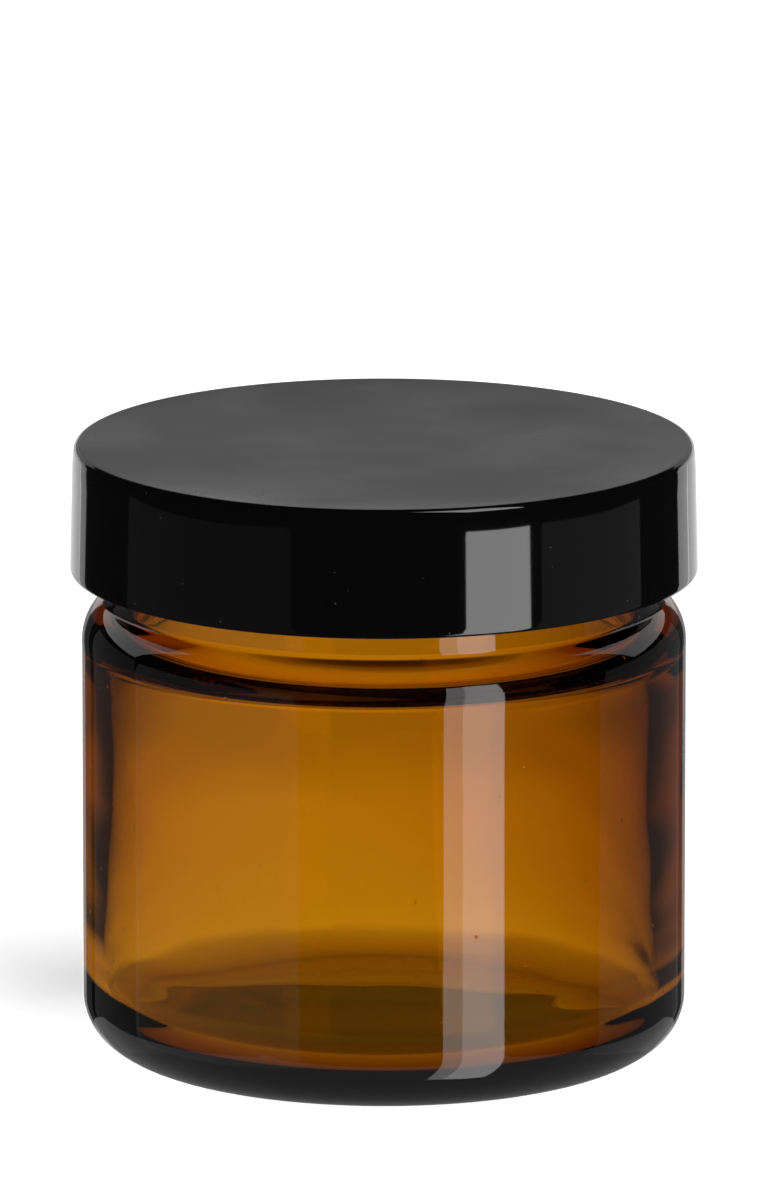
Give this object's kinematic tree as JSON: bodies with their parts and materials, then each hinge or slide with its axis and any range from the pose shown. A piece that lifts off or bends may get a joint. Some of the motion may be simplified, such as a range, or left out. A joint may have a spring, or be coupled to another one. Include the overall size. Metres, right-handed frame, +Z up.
{
  "type": "cosmetic cream jar",
  "caption": "Straight-sided amber glass cream jar with a smooth black screw cap and a two-layer sealing liner.",
  "frame": {"origin": "centre of the bearing ring that the jar stands on, on the jar's axis", "axes": "+Z up along the jar's axis towards the cap; X and Y are across it, with the glass thread starting at +X"},
  "size_m": [0.056, 0.056, 0.0551],
  "materials": {
    "amber_glass": "clear amber, fire-polished",
    "black_cap_plastic": "glossy side, satin top",
    "pulpboard": "matte pressed pulp",
    "liner_film": "smooth white film"
  },
  "bodies": {
    "jar": {"glass_jar": "amber_glass"},
    "liner": {"liner_backing": "pulpboard", "liner_facing": "liner_film"},
    "cap": {"cap_shell": "black_cap_plastic"}
  },
  "joints": [
    {"name": "cap_lift", "type": "slide", "parent": "jar", "child": "liner", "axis": [0, 0, 1], "range_m": [0, 0.04234]},
    {"name": "cap_turn", "type": "hinge", "parent": "liner", "child": "cap", "pos_m": [0, 0, 0.0436], "axis": [0, 0, 1], "range_deg": [0, 3600]}
  ],
  "couplings": [
    {"joint": "cap_lift", "follows": "cap_turn", "m_per_rad": 0.00067376}
  ]
}
